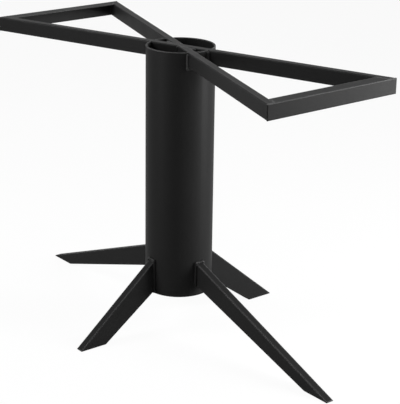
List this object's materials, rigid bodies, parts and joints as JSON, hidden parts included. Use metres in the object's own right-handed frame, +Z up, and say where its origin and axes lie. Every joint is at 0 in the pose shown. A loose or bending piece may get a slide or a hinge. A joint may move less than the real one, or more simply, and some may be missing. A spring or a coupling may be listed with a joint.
{
  "type": "table base",
  "caption": "Black welded steel table base: an hourglass frame of bars over a round tube column that stands on tapered splayed legs.",
  "frame": {"origin": "on the floor, below the middle of the column", "axes": "+Z up, +X along the long axis of the frame and the long legs, +Y along the cross legs"},
  "size_m": [1.124, 0.608, 0.72],
  "materials": {
    "black_paint": "satin black powder coat"
  },
  "bodies": {
    "root": {"column": "black_paint", "long_diagonal_bar": "black_paint", "left_half_diagonal_bar": "black_paint", "right_half_diagonal_bar": "black_paint", "left_end_angle": "black_paint", "right_end_angle": "black_paint", "left_leg": "black_paint", "right_leg": "black_paint", "front_leg": "black_paint", "back_leg": "black_paint"}
  },
  "joints": []
}
